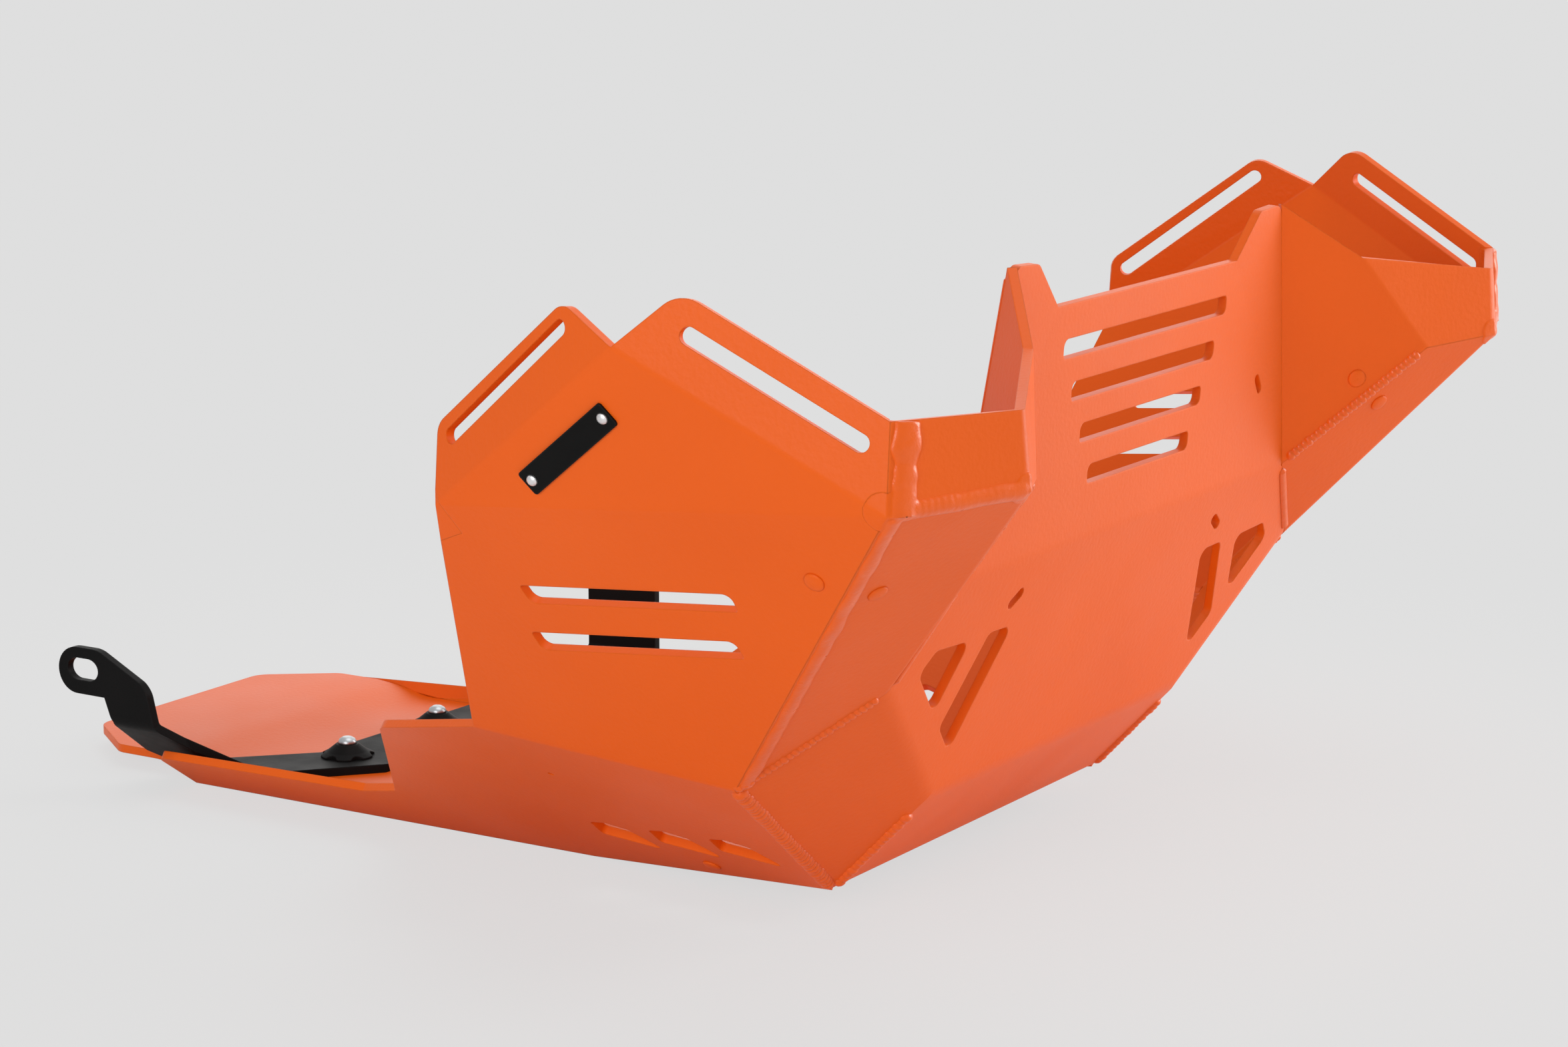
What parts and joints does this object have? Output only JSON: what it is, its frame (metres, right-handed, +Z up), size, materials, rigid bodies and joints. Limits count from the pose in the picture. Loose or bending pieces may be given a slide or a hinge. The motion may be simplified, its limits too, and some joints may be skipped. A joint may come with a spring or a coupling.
{
  "type": "motorcycle skid plate",
  "caption": "Folded and welded sheet-metal skid plate that wraps the engine, with side pockets, vents and a bolted rear bracket.",
  "frame": {"origin": "under the middle of the overall box, on the plane of the flat floor's underside", "axes": "+X forward, +Y to the rider's left, +Z up"},
  "size_m": [0.6166, 0.6194, 0.2926],
  "materials": {
    "orange_coat": "satin",
    "black_coat": "satin",
    "zinc": "satin",
    "black_anodised": "matte",
    "bare_aluminium": "satin",
    "plug_coat": "satin"
  },
  "bodies": {
    "root": {"main_plate": "orange_coat", "side_panel_left": "orange_coat", "side_panel_right": "orange_coat", "pocket_wall_left": "orange_coat", "pocket_wall_right": "orange_coat", "pocket_front_left": "orange_coat", "pocket_front_right": "orange_coat", "plugs_left": "plug_coat", "plugs_right": "plug_coat", "rear_bracket": "black_coat", "bracket_bosses": "black_coat", "bracket_bolts": "zinc", "name_plate": "black_anodised", "name_plate_rivets": "bare_aluminium", "weld_cheek_left": "orange_coat", "weld_cheek_right": "orange_coat", "weld_flank_left": "orange_coat", "weld_flank_right": "orange_coat", "weld_belly_left": "orange_coat", "weld_belly_right": "orange_coat", "weld_chin_left": "orange_coat", "weld_chin_right": "orange_coat", "weld_inner_foot_left": "orange_coat", "weld_inner_foot_right": "orange_coat", "weld_inner_knee_left": "orange_coat", "weld_inner_knee_right": "orange_coat", "weld_inner_rear_left": "orange_coat", "weld_inner_rear_right": "orange_coat"}
  },
  "joints": []
}
